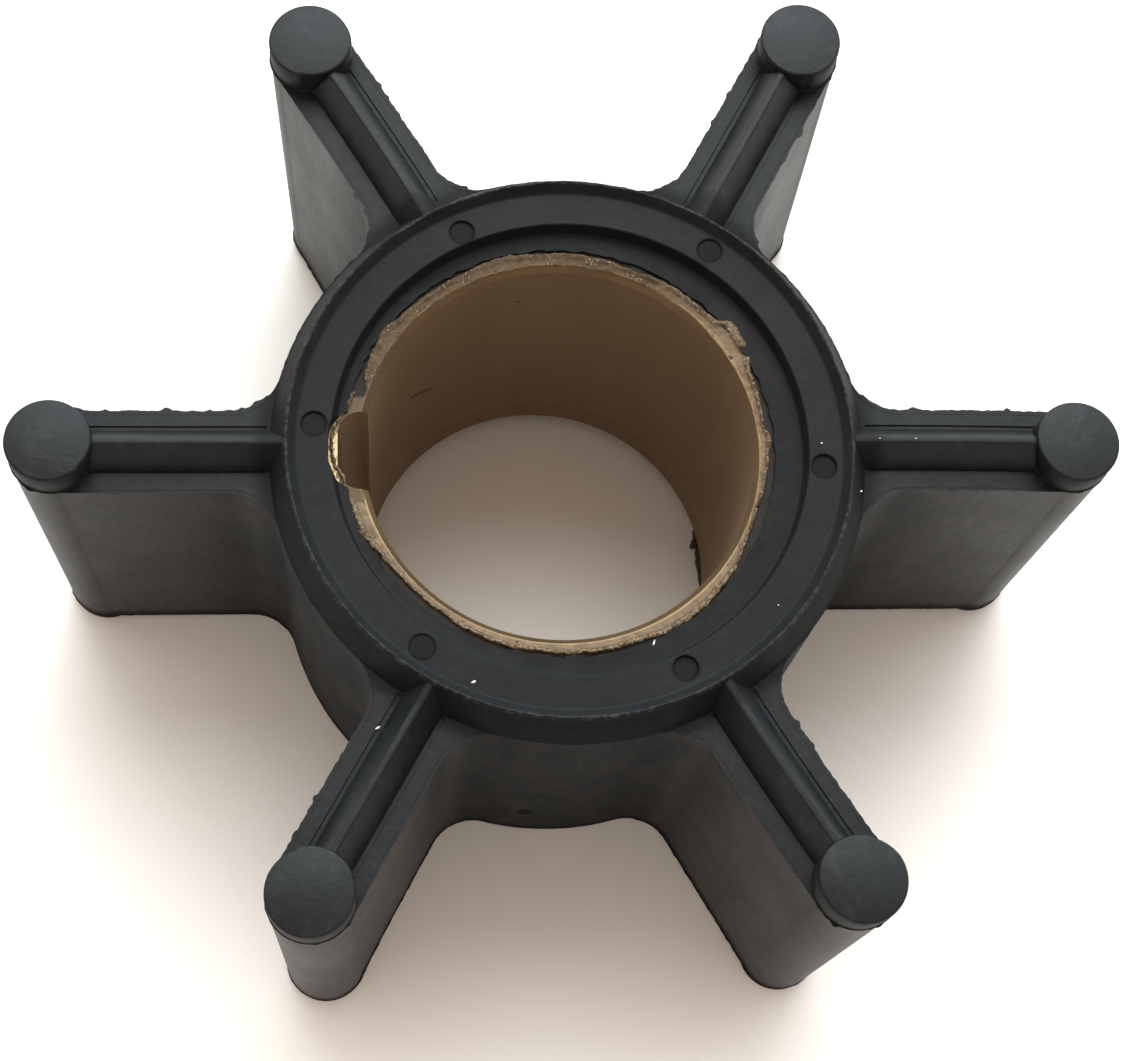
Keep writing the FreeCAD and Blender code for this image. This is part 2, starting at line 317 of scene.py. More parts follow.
def bar(name, section, start, end, pieces, rounded=()):
    """A cross-section of (sideways, height) points, pushed along X from start to end."""
    points = [(start, side, height) for side, height in section]
    piece = begin_line(name, points[0])
    draw_through(points + points[:1])
    merge_doubles()
    for side, height, width in rounded:
        round_corner(piece, lambda v: near(v.co.y, side) and near(v.co.z, height), width)
    pick_all()
    bpy.ops.mesh.edge_face_add()
    for _ in range(pieces):
        extrude(((end - start) * MM / pieces, 0, 0))
    close_up()
    leave_edit()
    return piece


def joined(first, *others):
    activate(first)
    for other in others:
        other.select_set(True)
    bpy.ops.object.join()
    return bpy.context.object


def combine(body, tool, operation):
    activate(body)
    modifier = body.modifiers.new(operation.title(), "BOOLEAN")
    modifier.operation = operation
    modifier.solver = "EXACT"
    modifier.object = tool
    bpy.ops.object.modifier_apply(modifier=modifier.name)
    bpy.data.objects.remove(tool, do_unlink=True)


def smooth(piece, degrees):
    activate(piece)
    bpy.ops.object.shade_smooth_by_angle(angle=math.radians(degrees))
    modifier = piece.modifiers.new("Even Shading", "WEIGHTED_NORMAL")
    modifier.keep_sharp = True
    bpy.ops.object.modifier_apply(modifier=modifier.name)


def finish_piece(piece, material):
    piece.data.materials.clear()
    piece.data.materials.append(material)
    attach(piece, "root")


# The rubber moulding

def hub_blank():
    feet = [(BODY_RADIUS, UPPER_SHOULDER), (BODY_RADIUS, LOWER_SHOULDER)]
    lower = [(radius, HEIGHT - height) for radius, height in reversed(HUB_END)]
    lower_corners = [(radius, HEIGHT - height, width) for radius, height, width in HUB_CORNERS]
    return turned("rubber_body", [*HUB_END, *feet, *lower, HUB_END[0]], corners=[*HUB_CORNERS, *lower_corners])


def web(edge_round):
    """The plan of one vane, with the two hollow fillets at its root, drawn point by point and pushed up."""
    x, y = ROOT_CENTRE
    turned_by = math.pi / 2 + ROOT_TURN
    hub_x, hub_y = x + ROOT_RADIUS * math.cos(turned_by), -y + ROOT_RADIUS * math.sin(turned_by)
    inner_x, inner_y = WEB_CORNER
    piece = begin_line("vane", (inner_x, -inner_y, LOWER_SHOULDER))
    draw_line((inner_x, -inner_y, 0), (hub_x, hub_y, 0))
    draw_fillet(x, -y)
    draw_line((x, -HALF_WEB, 0), (TIP_AT, -HALF_WEB, 0), WEB_PIECES)
    draw_line((TIP_AT, -HALF_WEB, 0), (TIP_AT, HALF_WEB, 0))
    draw_line((TIP_AT, HALF_WEB, 0), (x, HALF_WEB, 0), WEB_PIECES)
    draw_fillet(x, y)
    draw_through([(hub_x, -hub_y, 0), (inner_x, inner_y, 0), (inner_x, -inner_y, 0)])
    merge_doubles()
    bpy.ops.mesh.edge_face_add()
    extrude((0, 0, (UPPER_SHOULDER - LOWER_SHOULDER) * MM))
    close_up()
    pick(piece, "EDGE", lambda e: abs(e.verts[0].co.z - e.verts[1].co.z) < 0.01 * MM)
    bpy.ops.mesh.bevel(offset=edge_round, segments=2)
    leave_edit()
    return piece


def draw_fillet(x, y):
    centre = Vector((x, y, LOWER_SHOULDER)) * MM
    bpy.ops.mesh.spin(steps=FILLET_PIECES, angle=ROOT_TURN, center=centre, axis=(0, 0, 1))


def ridge(root, foot, crest):
    """The drafted ridge on one end of a web, rooted a little inside it."""
    half = ((RIDGE_CREST, crest), (RIDGE_FOOT, foot), (RIDGE_FOOT, root))
    section = [(-side, height) for side, height in reversed(half)] + list(half)
    rounded = ((-RIDGE_CREST, crest, RIDGE_ROUND), (RIDGE_CREST, crest, RIDGE_ROUND))
    return bar("ridge", section, RIDGE_START, TIP_AT, WEB_PIECES, rounded)


def foot_groove(side, shoulder, outwards):
    """The groove on one side of a ridge's foot; outwards is 1 on the upper end and -1 on the lower one."""
    floor, mouth = shoulder - outwards * GROOVE_DEPTH, shoulder + outwards * 0.2
    inner, at_floor, at_mouth = GROOVE_SIDES
    section = [(side * y, z) for y, z in ((inner, floor), (at_floor, floor), (at_mouth, mouth), (inner, mouth))]
    return bar("foot_groove", section, *GROOVE_RUN, GROOVE_PIECES)


def tip(settings):
    """The round tip, with a shallow crease where the two halves of its mould met."""
    crease = TIP_RADIUS - settings.crease_depth / MM
    creased = zip((TIP_RADIUS, crease, crease, TIP_RADIUS), TIP_CREASE)
    profile = [(0, 0), (TIP_RADIUS, 0), *creased, (TIP_RADIUS, HEIGHT), (0, HEIGHT), (0, 0)]
    rim = settings.rim_round / MM
    rims = ((TIP_RADIUS, 0, rim), (TIP_RADIUS, HEIGHT, rim))
    return turned("tip", profile, centre=TIP_AT, steps=80, corners=rims)


def vane_blank(settings):
    vane = web(settings.edge_round)
    upper = ridge(UPPER_SHOULDER - RIDGE_ROOT, UPPER_SHOULDER, HEIGHT - RIDGE_SETBACK)
    lower = ridge(LOWER_SHOULDER + RIDGE_ROOT, LOWER_SHOULDER, RIDGE_SETBACK)
    combine(vane, joined(upper, lower), "UNION")
    grooves = [foot_groove(side, UPPER_SHOULDER, 1) for side in (-1, 1)]
    grooves += [foot_groove(side, LOWER_SHOULDER, -1) for side in (-1, 1)]
    combine(vane, joined(*grooves), "DIFFERENCE")
    combine(vane, tip(settings), "UNION")
    return vane


def bend(vane, turn, upper, lower):
    """Bends the outer half of a vane, as the set that the rubber has taken in use, and shifts its upper ridge."""
    outwards = Vector((math.cos(turn), math.sin(turn)))
    for vertex in vane.data.vertices:
        along = Vector(vertex.co.xy).dot(outwards) / MM
        across = abs(Vector(vertex.co.xy).dot(outwards.orthogonal())) / MM
        on_upper_ridge = along < 30.0 and across < 1.8 and vertex.co.z > 27.0 * MM
        if on_upper_ridge:
            vertex.co.y += RIDGE_SHIFT * MM
        share = min(max((along - BEND_START) / (TIP_AT - BEND_START), 0.0), 1.0) ** 2
        rise = vertex.co.z / MM / HEIGHT
        move = Vector(upper) * rise + Vector(lower) * (1 - rise)
        vertex.co.x += move.x * share * MM
        vertex.co.y += move.y * share * MM


def six_vanes(settings):
    pattern = vane_blank(settings)
    vanes = []
    for index, (upper, lower) in enumerate(BENDS):
        activate(pattern)
        bpy.ops.object.duplicate()
        vane = bpy.context.object
        turn = math.radians(360 / len(BENDS) * index)
        vane.rotation_euler.z = turn
        fix_place(vane)
        bend(vane, turn, upper, lower)
        vanes.append(vane)
    bpy.data.objects.remove(pattern, do_unlink=True)
    return joined(*vanes)


def room_for_bush():
    low, high = BUSH_SETBACK, HEIGHT - BUSH_SETBACK
    profile = [(0, -1), (SKIN_OPENING, -1), (SKIN_OPENING, low), (BUSH_RADIUS, low)]
    profile += [(BUSH_RADIUS, high), (SKIN_OPENING, high), (SKIN_OPENING, HEIGHT + 1), (0, HEIGHT + 1)]
    return turned("room_for_bush", profile, centre=BUSH_X, steps=180)


def room_for_key():
    deselect_everything()
    bpy.ops.mesh.primitive_cube_add(size=1, location=Vector((KEY_ROOM_X, 0, HEIGHT / 2)) * MM)
    piece = bpy.context.object
    piece.scale = Vector(KEY_ROOM) * MM
    fix_place(piece)
    edit(piece)
    pick(piece, "EDGE", lambda e: all(v.co.x < -14 * MM for v in e.verts) and e.verts[0].co.y == e.verts[1].co.y)
    bpy.ops.mesh.bevel(offset=KEY_ROOM_CORNER * MM, segments=6)
    leave_edit()
    return piece


def pin_marks():
    marks = []
    for x, y, depth in PIN_MARKS:
        deselect_everything()
        bpy.ops.mesh.primitive_cylinder_add(
            vertices=28, radius=PIN_RADIUS * MM, depth=MM, location=Vector((x, y, ANNULUS - depth + 0.5)) * MM
        )
        fix_place(bpy.context.object)
        marks.append(bpy.context.object)
    return joined(*marks)


def fray_skin(body):
    """The thin skin over the bush's ends is torn off unevenly."""
    for vertex in body.data.vertices:
        off = Vector((vertex.co.x / MM - BUSH_X, vertex.co.y / MM, 0))
        depth = min(vertex.co.z / MM, HEIGHT - vertex.co.z / MM)
        if 1.4 < depth < 2.0 and SKIN_OPENING - 0.1 < off.length < SKIN_OPENING + 0.02:
            fray = noise.noise(off * 1.7) * 0.16 + noise.noise(off * 5.0) * 0.07
            vertex.co.xy += off.normalized().xy * fray * MM


def wear_crest(body):
    """The thin raised crest round the hub is worn a little uneven."""
    for vertex in body.data.vertices:
        if vertex.co.z > (HEIGHT - 0.15) * MM and vertex.co.xy.length < 17.6 * MM:
            spot = vertex.co / MM
            vertex.co.z -= (0.06 + 0.1 * noise.noise(spot * 1.2) + 0.08 * noise.noise(spot * 4.0)) * MM


def rubber_body(settings):
    body = hub_blank()
    combine(body, six_vanes(settings), "UNION")
    combine(body, room_for_bush(), "DIFFERENCE")
    combine(body, room_for_key(), "DIFFERENCE")
    combine(body, pin_marks(), "DIFFERENCE")
    fray_skin(body)
    wear_crest(body)
    mend(body)
    smooth(body, 32)
    return body


def parting_flash(body, name, cut, rise, seed, settings):
    """The thin ragged rind along a shoulder of the moulding, grown from the body's outline just inside it."""
    activate(body)
    bpy.ops.object.duplicate()
    rind = bpy.context.object
    rind.name = name
    edit(rind)
    pick_all()
    bpy.ops.mesh.bisect(
        plane_co=(0, 0, cut * MM), plane_no=(0, 0, 1), threshold=0.001 * MM, clear_inner=True, clear_outer=True
    )
    pick(rind, "VERT", lambda v: v.co.xy.length < HOLLOW_REACH * MM)
    bpy.ops.mesh.delete(type="VERT")
    merge_doubles(0.02)
    for longest in FLASH_LENGTHS:
        pick(rind, "EDGE", lambda e: e.calc_length() > longest * MM)
        bpy.ops.mesh.subdivide(number_cuts=1)
    pick_all()
    bpy.ops.mesh.edge_face_add()
    bpy.ops.mesh.inset(thickness=0.3 * MM, depth=0, use_boundary=True)
    rooted = {vertex.index for vertex in bmesh.from_edit_mesh(rind.data).verts if vertex.select}
    bpy.ops.mesh.delete(type="ONLY_FACE")
    pick_all()
    bpy.ops.transform.translate(value=(0, 0, rise * MM))
    leave_edit()
    fray_rind(rind, rooted, seed, settings)
    mend(rind)
    thickness = rind.modifiers.new("Thickness", "SOLIDIFY")
    thickness.thickness = settings.flash_thickness
    thickness.offset = 0
    activate(rind)
    bpy.ops.object.modifier_apply(modifier=thickness.name)
    smooth(rind, 40)
    return rind


def fray_rind(rind, rooted, seed, settings):
    """Gives the rind an uneven reach, longer on the far side, where the mould lay askew, and short on the hub."""
    places = [vertex.co.copy() for vertex in rind.data.vertices]
    for edge in rind.data.edges:
        a, b = edge.vertices
        if (a in rooted) == (b in rooted):
            continue
        root, rim = (a, b) if a in rooted else (b, a)
        outline = places[rim]
        spot = outline / MM + Vector((0, 0, seed))
        wave = 0.5 + 0.5 * noise.noise(spot * 2.4)
        nub = max(0.0, noise.noise(spot * 1.7 + Vector((31, 7, 0))) - 0.25) * 1.3
        nub *= 0.4 if outline.z < HEIGHT / 2 * MM else 1.0
        grit = 0.5 + 0.5 * noise.noise(spot * 4.0)
        direction = (outline - places[root]).normalized()
        reach = settings.flash_reach * (0.35 + 0.9 * wave + 0.45 * grit) * (1.0 + 0.7 * direction.y)
        reach += settings.flash_nubs * nub * (1.0 + 0.3 * direction.y)
        reach *= 0.35 if outline.xy.length < HUB_REACH * MM else 1.0
        rind.data.vertices[root].co = outline - direction * 0.1 * MM
        rind.data.vertices[rim].co = outline + direction * reach


# Shader expressions

class Signal:
    """A shader socket that can be used in an expression; each operation adds its Math node."""

    def __init__(self, finish, socket):
        self.finish = finish
        self.socket = socket

    def maths(self, operation, *values):
        inputs = dict(enumerate(values))
        return self.finish.node("ShaderNodeMath", {"operation": operation}, inputs)

    def __add__(self, other):
        return self.maths("ADD", self, other)

    __radd__ = __add__

    def __sub__(self, other):
        return self.maths("SUBTRACT", self, other)

    def __rsub__(self, other):
        return self.maths("SUBTRACT", other, self)

    def __mul__(self, other):
        return self.maths("MULTIPLY", self, other)

    __rmul__ = __mul__

    def __truediv__(self, other):
        return self.maths("DIVIDE", self, other)

    def __rtruediv__(self, other):
        return self.maths("DIVIDE", other, self)

    def __pow__(self, other):
        return self.maths("POWER", self, other)

    def __neg__(self):
        return self.maths("MULTIPLY", self, -1.0)

    def size(self):
        return self.maths("ABSOLUTE", self)

    def larger(self, other):
        return self.maths("MAXIMUM", self, other)


class Finish:
    """A procedural material or world, built one node at a time."""

    def __init__(self, owner):
        self.material = bpy.data.materials.new(owner) if isinstance(owner, str) else owner
        self.material.use_nodes = True
        self.tree = self.material.node_tree
        self.surface = self.tree.nodes.get("Principled BSDF")
        self.place = self.node("ShaderNodeTexCoord", output="Object" if self.surface else "Generated")
        self.x, self.y, self.z = self.apart(self.place)

    def feed(self, socket, value):
        if isinstance(value, Signal):
            self.tree.links.new(value.socket, socket)
        else:
            socket.default_value = value

    def node(self, kind, settings=None, inputs=None, output=0):
        node = self.tree.nodes.new(kind)
        for key, value in (settings or {}).items():
            setattr(node, key, value)
        for key, value in (inputs or {}).items():
            self.feed(node.inputs[key], value)
        return node if output is None else Signal(self, node.outputs[output])

    def noise(self, scale, detail, roughness, stretch=None, shift=None):
        """Cloudy noise whose features measure about 1 / scale millimetres."""
        place = self.place
        if stretch or shift:
            inputs = {"Vector": place, "Scale": stretch or (1, 1, 1), "Location": shift or (0, 0, 0)}
            place = self.node("ShaderNodeMapping", inputs=inputs)
        inputs = {"Vector": place, "Scale": scale / MM, "Detail": detail, "Roughness": roughness}
        return self.node("ShaderNodeTexNoise", inputs=inputs)

    def step(self, value, low, high):
        """0 below low, 1 above high, and smooth between them."""
        inputs = {"Value": value, "From Min": low, "From Max": high}
        return self.node("ShaderNodeMapRange", {"interpolation_type": "SMOOTHSTEP"}, inputs)

    def band(self, value, middle, half, soft):
        return 1.0 - self.step((value - middle).size(), half, half + soft)

    def blend(self, share, first, second):
        node = self.node("ShaderNodeMix", {"data_type": "RGBA"}, output=None)
        colours = [socket for socket in node.inputs if socket.type == "RGBA"]
        self.feed(node.inputs[0], share)
        self.feed(colours[0], opaque(first))
        self.feed(colours[1], opaque(second))
        return Signal(self, next(socket for socket in node.outputs if socket.type == "RGBA"))

    def bump(self, height, strength, distance, below=None):
        inputs = {"Height": height, "Strength": strength, "Distance": distance * MM}
        if below:
            inputs["Normal"] = below
        return self.node("ShaderNodeBump", inputs=inputs)

    def apart(self, vector):
        node = self.node("ShaderNodeSeparateXYZ", inputs={0: vector}, output=None)
        return [Signal(self, part) for part in node.outputs]

    def facing_up(self):
        return self.apart(self.node("ShaderNodeTexCoord", output="Normal"))[2]

    def set(self, **values):
        names = {"colour": "Base Color", "rough": "Roughness", "metal": "Metallic", "normal": "Normal",
                 "ior": "IOR", "gloss": "Specular IOR Level"}
        for key, value in values.items():
            self.feed(self.surface.inputs[names[key]], opaque(value) if key == "colour" else value)


def opaque(colour):
    if isinstance(colour, Signal):
        return colour
    return (*colour[:3], 1.0)


def distance(*offsets):
    """How far off a place is, from how far off it is along each of the given directions."""
    return sum((offset * offset for offset in offsets[1:]), offsets[0] * offsets[0]) ** 0.5


def rubber_finish(settings):
    """Moulded nitrile rubber: satin and blue-black above, dull and mottled on the walls, darkest round the hub, with
    painted shade in the pockets, crevices, pin marks and along the walls' feet.
    """
    finish = Finish("Moulded Rubber")
    clouds = finish.noise(0.16, 4, 0.55)
    patches = finish.noise(0.6, 3, 0.6, shift=(0.3, 0.1, 0.7), stretch=WALL_STRETCH)
    mottle = finish.noise(0.75, 5, 0.72, shift=(0.11, 0.42, 0.05), stretch=WALL_STRETCH)
    fine = finish.noise(2.2, 4, 0.65, stretch=WALL_STRETCH)
    grain = finish.noise(7.0, 2, 0.6)
    x, y, height = finish.x / MM, finish.y / MM, finish.z / MM
    from_axis = distance(x, y)

    # Where the walls, the hub, the ledges beside the ridges, the vanes' inner parts and the lowest rim are
    wall = (1.0 - finish.step(finish.facing_up(), 0.1, 0.45)) * (1.0 - finish.step(height, 27.0, 27.5))
    on_hub = 1.0 - finish.step(from_axis, 18.5, 19.8)
    on_ledge = (1.0 - wall) * (1.0 - finish.step(height, 27.4, 28.2))
    inner = 1.0 - finish.step(from_axis, 19.5, 26.0)
    wall_foot_shade = wall * (1.0 - finish.step(height + (mottle - 0.5) * 1.5, 1.0, 2.2))

    # The rubber's own colour, and over it that of the walls, with painted shade in the pockets and along the walls'
    # feet
    colour = finish.blend(finish.step(clouds, 0.35, 0.7), settings.rubber_dark, settings.rubber_light)
    colour = finish.blend(finish.step(mottle, 0.5, 0.75) * 0.3, colour, settings.rubber_bloom_and_highlight)
    colour = finish.blend(on_hub.larger(on_ledge * 0.5) * 0.75, colour, settings.rubber_hub)
    sides = finish.blend(finish.step(mottle, 0.38, 0.62), settings.wall_green, settings.wall_pink)
    sides = finish.blend(finish.step(patches, 0.5, 0.75) * 0.3, sides, settings.rubber_bloom_and_highlight)
    # Painted shade: the walls in the pockets between the vanes darken towards the hub, in mottled patches
    pocket_shade = finish.blend(finish.step(patches, 0.4, 0.65) * 0.5, settings.rubber_dark, settings.wall_pink)
    sides = finish.blend(inner * 0.85, sides, pocket_shade)
    # Painted shade along the walls' lowest rim
    sides = finish.blend(wall_foot_shade * 0.8, sides, settings.rubber_shade_and_stain)
    colour = finish.blend(wall, colour, sides)

    # Pin marks darkened with painted shade, the stain, painted shadow in the crevice beside the bush, the worn crest
    # with a painted highlight, and bloom
    marks = pin_mark_painted_shade(finish, x, y) * finish.step(height, 27.0, 28.0)
    # Painted shade inside the pin marks, strongest at their rims
    colour = finish.blend(marks * 0.8, colour, settings.rubber_shade_and_stain)
    from_stain = distance(x - STAIN[0], y - STAIN[1], (height - STAIN[2]) * 0.5) + (fine - 0.5) * 0.6
    stain = 1.0 - finish.step(from_stain, 0.3, 0.55)
    colour = finish.blend(stain, colour, settings.rubber_shade_and_stain)
    # Painted shadow in the gap between the rubber skin and the smeared brass round the bush
    bush_gap_shade = finish.band(distance(x - BUSH_X, y), 13.4, 0.25, 0.5) * finish.step(height, 26.0, 27.5)
    colour = finish.blend(bush_gap_shade * finish.step(patches, 0.4, 0.55) * 0.9, colour, settings.rubber_shade_and_stain)
    crest = finish.band(from_axis, 17.3, 0.08, 0.1) * finish.step(height, 29.1, 29.3)
    # The crest is lightened in specks, partly as wear and partly as a painted highlight
    colour = finish.blend(crest * finish.step(fine, 0.45, 0.6) * 0.6, colour, settings.rubber_bloom_and_highlight)
    dusty = finish.step(grain, 0.62, 0.8) * finish.step(clouds, 0.45, 0.7)
    colour = finish.blend(dusty * 0.3, colour, settings.rubber_bloom_and_highlight)

    # Satin on top, duller on the hub, the walls and the steep sides at the vanes' ends
    rough = 0.42 + wall * 0.07 + on_hub * 0.2 + marks * 0.2 + wall * inner * 0.1 + stain * 0.4 + on_ledge * 0.06
    steep = 1.0 - finish.step(finish.facing_up(), 0.3, 0.6)
    at_ends = on_hub.larger(finish.step(from_axis, 28.5, 29.2))
    rough = rough + steep * at_ends * finish.step(height, 27.0, 27.5) * 0.25 + wall_foot_shade * 0.2
    rough = rough + (clouds - 0.5) * 0.2 + (fine - 0.5) * 0.15
    normal = finish.bump(patches, 0.3, 0.1)
    normal = finish.bump(fine, 0.3, 0.05, normal)
    normal = finish.bump(grain, 0.35, 0.02, normal)
    finish.set(colour=colour, rough=rough, ior=1.45, gloss=0.22, normal=normal)
    return finish.material


def pin_mark_painted_shade(finish, x, y):
    """1 inside the ejector pin marks, strongest round their rims: painted shade, darkest as a painted rim shadow."""
    shade = None
    for place_x, place_y, _ in PIN_MARKS:
        away = distance(x - place_x, y - place_y)
        inside = 1.0 - finish.step(away, PIN_RADIUS - 0.05, PIN_RADIUS + 0.11)
        mark = inside * 0.6 + finish.band(away, PIN_RADIUS, 0.05, 0.1) * 0.4
        shade = mark if shade is None else shade.larger(mark)
    return shade


def bush_finish(settings):
    """Turned brass: a tarnished brown bore with a few marks in it, a pale chamfer and end faces darkened with painted
    shade.
    """
    finish = Finish("Turned Brass")
    x, y, z = finish.x / MM - BUSH_X, finish.y / MM, finish.z / MM
    radius = distance(x, y)
    stain = finish.noise(0.12, 4, 0.6, stretch=(1, 1, 0.35))
    streaks = finish.noise(1.4, 3, 0.6, stretch=(1, 1, 0.06))
    rings = finish.noise(2.6, 2, 0.5, stretch=(0.04, 0.04, 1))
    grain = finish.noise(5.0, 3, 0.65)
    upright = finish.facing_up().size()
    inside = 1.0 - finish.step(upright, 0.3, 0.6)
    chamfer = (1.0 - inside) * (1.0 - finish.step(radius, 12.4, 12.46))
    tarnish = finish.blend(stain, settings.bore_dark, settings.bore_light)
    tarnish = finish.blend(finish.step(streaks, 0.5, 0.75) * 0.3, tarnish, settings.bore_light)
    tarnish = finish.blend(finish.step(rings, 0.55, 0.8) * 0.18, tarnish, settings.bore_dark)
    # A faint pale line low in the bore, broken along the streaks
    low_pale_line = finish.band(z + (stain - 0.5) * 1.2, 5.3, 0.05, 0.12) * finish.step(streaks, 0.3, 0.6)
    tarnish = finish.blend(low_pale_line * 0.3, tarnish, settings.brass_bright_and_glint)
    for start, end, width in SCRATCHES:
        tarnish = finish.blend(scratch((x, y, z), start, end, width, finish) * 0.7, tarnish, settings.brass_dark)
    rim = finish.blend(finish.step(stain, 0.3, 0.7), settings.brass_mid, settings.brass_tan)
    behind_key = finish.step(-x, 13.45, 13.55)
    # Painted shade on the end faces, where they lie in the gap beside the smeared brass; lifted beside the keyway
    face = finish.blend(finish.step(grain, 0.35, 0.75) * 0.4, settings.brass_end_shade, settings.brass_dark)
    beside_key = finish.step(-x, 11.0, 11.3) * (1.0 - finish.step(y.size(), 3.3, 3.6))
    face = finish.blend(beside_key * 0.9, face, settings.brass_mid)
    face = finish.blend(behind_key * finish.step(grain, 0.4, 0.5), face, settings.brass_bright_and_glint)
    colour = finish.blend(chamfer, face, rim)
    colour = finish.blend(inside, colour, tarnish)
    rough = 0.7 - inside * 0.08 + (grain - 0.5) * 0.15 - chamfer * 0.3 - behind_key * 0.2
    metal = 0.1 + inside * 0.2 + chamfer * 0.6 + behind_key * 0.5
    normal = finish.bump(rings, 0.25, 0.03)
    normal = finish.bump(grain, 0.35, 0.03, normal)
    finish.set(colour=colour, rough=rough, metal=metal, gloss=0.3, normal=normal)
    return finish.material


def scratch(place, start, end, width, finish):
    """1 along a short scratch between two places on the bore."""
    start, end = Vector(start), Vector(end)
    along = (end - start).normalized()
    x, y, z = (value - middle for value, middle in zip(place, (start + end) / 2))
    run = x * along.x + y * along.y + z * along.z
    away = (x * x + y * y + z * z - run * run).larger(0.0) ** 0.5
    half = (end - start).length / 2
    return (1.0 - finish.step(away, width * 0.6, width * 1.6)) * (1.0 - finish.step(run.size(), half * 0.7, half))


def smear_finish(settings):
    """Brass smeared and torn round the mouth of the bore: a tan strip inside, crumbs and painted glints outside, and
    painted shade on its far side.
    """
    finish = Finish("Smeared Brass")
    x, y = finish.x / MM - BUSH_X, finish.y / MM
    across = finish.node("ShaderNodeAttribute", {"attribute_name": "across"}, output=2)
    lumps = finish.noise(0.9, 4, 0.7)
    crumbs = finish.noise(4.0, 4, 0.7)
    painted_glints = finish.noise(6.5, 2, 0.6, shift=(0.7, 0.2, 0.4))
    outside = finish.step(across + (lumps - 0.5) * 0.5, 0.5, 0.7)
    strip = finish.blend(finish.step(lumps, 0.35, 0.65), settings.brass_mid, settings.brass_tan)
    torn = finish.blend(finish.step(crumbs, 0.4, 0.6), settings.brass_dark, settings.brass_tan)
    mix = finish.blend(outside, strip, torn)
    seam = finish.band(across + (lumps - 0.5) * 0.3, 0.6, 0.02, 0.07) * finish.step(crumbs, 0.4, 0.55)
    mix = finish.blend(seam * 0.7, mix, settings.brass_dark)
    # Painted glints, mostly on the torn outer fringe
    mix = finish.blend(finish.step(painted_glints, 0.58, 0.72) * (0.1 + outside * 0.65), mix, settings.brass_bright_and_glint)
    mix = finish.blend((1.0 - finish.step(across, 0.05, 0.2)) * 0.5, mix, settings.brass_bright_and_glint)
    # Painted shade: the far side of the ring is dulled and darkened in lumps, with a few painted highlights
    far = finish.step(y - x * 0.5, 2.0, 10.0)
    mix = finish.blend(far * 0.7, mix, settings.brass_mid)
    mix = finish.blend(far * finish.step(lumps, 0.35, 0.6) * 0.5, mix, settings.brass_dark)
    # Painted highlights on the lumps of the far side
    bright = finish.step(painted_glints, 0.56, 0.66) * finish.step(lumps, 0.5, 0.62)
    mix = finish.blend(far * bright * 0.7, mix, settings.brass_bright_and_glint)
    copper = 1.0 - finish.step(distance(x - COPPER_SPOT[0], y - COPPER_SPOT[1]), 0.25, 0.6)
    mix = finish.blend(copper * 0.8, mix, settings.brass_copper)
    rough = 0.5 + crumbs * 0.25 + far * 0.2
    normal = finish.bump(lumps, 0.5, 0.15)
    normal = finish.bump(crumbs, 0.7, 0.08, normal)
    finish.set(colour=mix, rough=rough, metal=0.18, normal=normal)
    return finish.material


def plain_finish(name, colour, rough):
    finish = Finish(name)
    shade = finish.noise(1.5, 3, 0.6)
    mix = finish.blend(shade, tuple(channel * 0.9 for channel in colour), colour)
    finish.set(colour=mix, rough=rough, normal=finish.bump(shade, 0.3, 0.05))
    return finish.material


def table_finish(settings):
    finish = Finish("Pale Table")
    tooth = finish.noise(2.5, 4, 0.6)
    cloud = finish.noise(0.08, 3, 0.5)
    colour = finish.blend(cloud * 0.6 + tooth * 0.4, settings.table_shade, settings.table_colour)
    finish.set(colour=colour, rough=0.8, normal=finish.bump(tooth, 0.2, 0.05))
    return finish.material


# The smeared brass, the torn rubber and the dust

def ragged_radius(degrees):
    """The ring's outer radius in one direction, eased between the places in RAGGED_EDGE."""
    for (a, first), (b, second) in zip(RAGGED_EDGE, RAGGED_EDGE[1:]):
        if a <= degrees <= b:
            share = (degrees - a) / (b - a)
            return first + (second - first) * share * share * (3 - 2 * share)
    return RING_INNER + 0.2


def smeared_ring(name, upper):
    """A low rounded bead over the inner edge of the bush's end, open at the keyway, then roughened point by point."""
    start, end = math.radians(RING_START), math.radians(RING_END)
    piece = begin_line(name, (BUSH_X + RING_INNER, 0, RING_FOOT))
    draw_through([(BUSH_X + radius, 0, height) for radius, height in RING_SECTION + RING_SECTION[:1]])
    merge_doubles()
    bpy.ops.mesh.edge_face_add()
    pick_all()
    bpy.ops.mesh.spin(steps=420, angle=start - end, center=(BUSH_X * MM, 0, 0), axis=(0, 0, 1))
    close_up()
    leave_edit()
    across = piece.data.attributes.new("across", "FLOAT", "POINT")
    for vertex in piece.data.vertices:
        x, y = vertex.co.x / MM - BUSH_X, vertex.co.y / MM
        angle = (math.atan2(y, x) % math.tau) + start
        degrees = math.degrees(angle)
        share = (math.hypot(x, y) - RING_INNER) / RING_WIDTH
        spot = Vector((math.cos(angle), math.sin(angle), 0)) * 12.8 + (Vector() if upper else LOWER_END)
        edge = ragged_radius(degrees if upper else -degrees - 12) + noise.noise(spot * 2.2) * 0.07
        edge += noise.noise(spot * 6.0) * 0.05 - 0.05
        across.data[vertex.index].value = share
        swell = 1 + 0.6 * noise.noise(spot * 1.1) + 0.6 * noise.noise(spot * 4.5 + Vector((0, 0, share * 3)))
        radius = RING_INNER + max(edge - RING_INNER, 0.1) * share
        lift = max(vertex.co.z / MM - RING_FOOT, 0.0) * swell
        end_fade = min(1.0, (degrees - RING_START) / 6 + 0.15, (RING_END - degrees) / 6 + 0.15)
        vertex.co.x = (BUSH_X + radius * math.cos(angle)) * MM
        vertex.co.y = radius * math.sin(angle) * MM
        height = RING_FOOT + lift * max(end_fade, 0.0)
        vertex.co.z = (height if upper else HEIGHT - height) * MM
    if not upper:
        mend(piece)
    smooth(piece, 50)
    return piece


